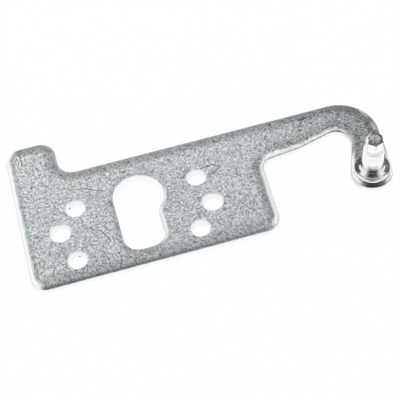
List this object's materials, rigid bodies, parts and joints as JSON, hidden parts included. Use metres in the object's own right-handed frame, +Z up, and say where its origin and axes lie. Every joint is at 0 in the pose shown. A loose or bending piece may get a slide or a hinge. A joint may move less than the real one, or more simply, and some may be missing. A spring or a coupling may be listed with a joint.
{
  "type": "fridge door hinge",
  "caption": "Flat stamped hinge bracket with a tab, a pear-shaped opening and screw holes, and a hooked arm that carries an upright collared pivot pin.",
  "frame": {"origin": "under the middle of the overall outline, on the plate's underside", "axes": "+X runs along the plate from its tab end to the pivot pin, +Y across the plate from the screw-hole edge to the tab, +Z up out of the face that carries the pin"},
  "size_m": [0.1244, 0.0574, 0.019],
  "materials": {
    "zinc_plated_sheet": "bright zinc plating with a mottled grey spangle and fine scratches",
    "bright_turned_steel": "turned and zinc plated, brighter and smoother than the plate"
  },
  "bodies": {
    "root": {"hinge_plate": "zinc_plated_sheet", "pivot_pin": "bright_turned_steel"}
  },
  "joints": []
}
